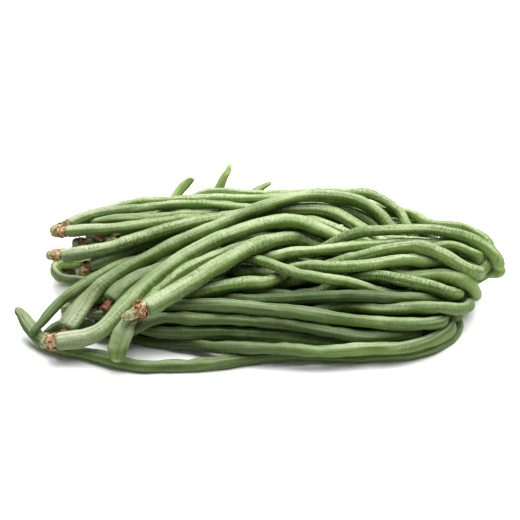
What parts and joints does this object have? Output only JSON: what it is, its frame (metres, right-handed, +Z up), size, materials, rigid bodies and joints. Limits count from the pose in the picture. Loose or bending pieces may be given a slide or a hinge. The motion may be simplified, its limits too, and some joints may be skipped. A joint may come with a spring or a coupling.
{
  "type": "yardlong bean bunch",
  "caption": "Bunch of long, thin, folded green bean pods with short brown stem ends, lying loose in a low heap; food for a kitchen, shop or market.",
  "frame": {"origin": "on the ground, under the middle of the heap's bounding box", "axes": "+X along the beans, from their stem ends and tips to their folds; +Y from the steep front of the heap to its back; +Z up"},
  "size_m": [0.2848, 0.1522, 0.057],
  "materials": {
    "pod_skin": "waxy green skin with fine cross wrinkles, pale streaks and a soft sheen",
    "dry_stem": "dry brown calyx and stalk stub, rough and fibrous"
  },
  "bodies": {
    "root": {"bean_01_pod": "pod_skin", "bean_02_pod": "pod_skin", "bean_03_pod": "pod_skin", "bean_04_pod": "pod_skin", "bean_05_pod": "pod_skin", "bean_06_pod": "pod_skin", "bean_07_pod": "pod_skin", "bean_08_pod": "pod_skin", "bean_09_pod": "pod_skin", "bean_10_pod": "pod_skin", "bean_11_pod": "pod_skin", "bean_12_pod": "pod_skin", "bean_13_pod": "pod_skin", "bean_14_pod": "pod_skin", "bean_15_pod": "pod_skin", "bean_16_pod": "pod_skin", "bean_17_pod": "pod_skin", "bean_18_pod": "pod_skin", "bean_19_pod": "pod_skin", "bean_20_pod": "pod_skin", "bean_21_pod": "pod_skin", "bean_22_pod": "pod_skin", "bean_23_pod": "pod_skin", "bean_24_pod": "pod_skin", "bean_25_pod": "pod_skin", "bean_26_pod": "pod_skin", "bean_27_pod": "pod_skin", "bean_01_stem_end": "dry_stem", "bean_02_stem_end": "dry_stem", "bean_03_stem_end": "dry_stem", "bean_04_stem_end": "dry_stem", "bean_05_stem_end": "dry_stem", "bean_06_stem_end": "dry_stem", "bean_07_stem_end": "dry_stem", "bean_08_stem_end": "dry_stem", "bean_09_stem_end": "dry_stem", "bean_10_stem_end": "dry_stem", "bean_11_stem_end": "dry_stem", "bean_12_stem_end": "dry_stem", "bean_13_stem_end": "dry_stem", "bean_14_stem_end": "dry_stem", "bean_15_stem_end": "dry_stem", "bean_16_stem_end": "dry_stem", "bean_17_stem_end": "dry_stem", "bean_18_stem_end": "dry_stem", "bean_19_stem_end": "dry_stem", "bean_20_stem_end": "dry_stem", "bean_21_stem_end": "dry_stem", "bean_22_stem_end": "dry_stem", "bean_23_stem_end": "dry_stem", "bean_24_stem_end": "dry_stem", "bean_25_stem_end": "dry_stem", "bean_26_stem_end": "dry_stem", "bean_27_stem_end": "dry_stem"}
  },
  "joints": []
}
